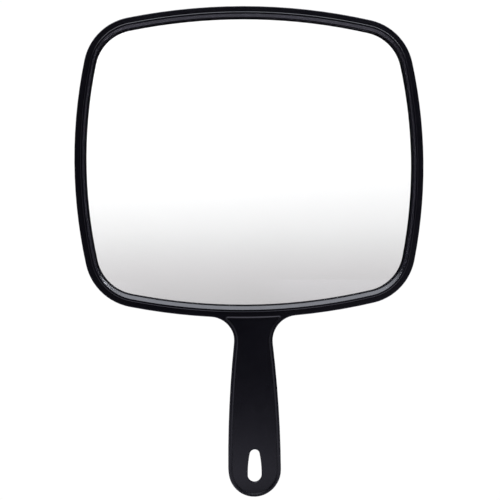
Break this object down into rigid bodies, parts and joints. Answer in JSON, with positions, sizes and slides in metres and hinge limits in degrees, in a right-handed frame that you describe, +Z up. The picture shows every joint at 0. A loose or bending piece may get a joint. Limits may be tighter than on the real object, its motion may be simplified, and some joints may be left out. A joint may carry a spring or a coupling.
{
  "type": "hand mirror",
  "caption": "Salon hand mirror: a wide rounded-rectangle mirror glass in a black moulded frame, with a flat tapered handle ending in a teardrop hanging hole.",
  "frame": {"origin": "centre of the head on the flat raised field of the back", "axes": "+X to the right seen from the mirror's front, +Z up from the handle to the head, -Y out of the mirror's face, +Y out of the back"},
  "size_m": [0.1906, 0.0102, 0.2667],
  "materials": {
    "body_plastic": "satin black ABS, fine spark-eroded grain",
    "ring_plastic": "semi-gloss black ABS",
    "cover_plastic": "satin black ABS",
    "float_glass": "polished clear float glass with a ground edge",
    "silvering": "wet-silvered reflecting coat",
    "mirror_paint": "grey-brown protective backing paint",
    "foam": "closed-cell foam sheet",
    "tape": "double-sided tape"
  },
  "bodies": {
    "root": {"body_shell": "body_plastic", "retaining_ring": "ring_plastic", "handle_cover": "cover_plastic", "mirror_glass": "float_glass", "silver_layer": "silvering", "backing_paint": "mirror_paint", "foam_pad": "foam", "adhesive_strips": "tape"}
  },
  "joints": []
}
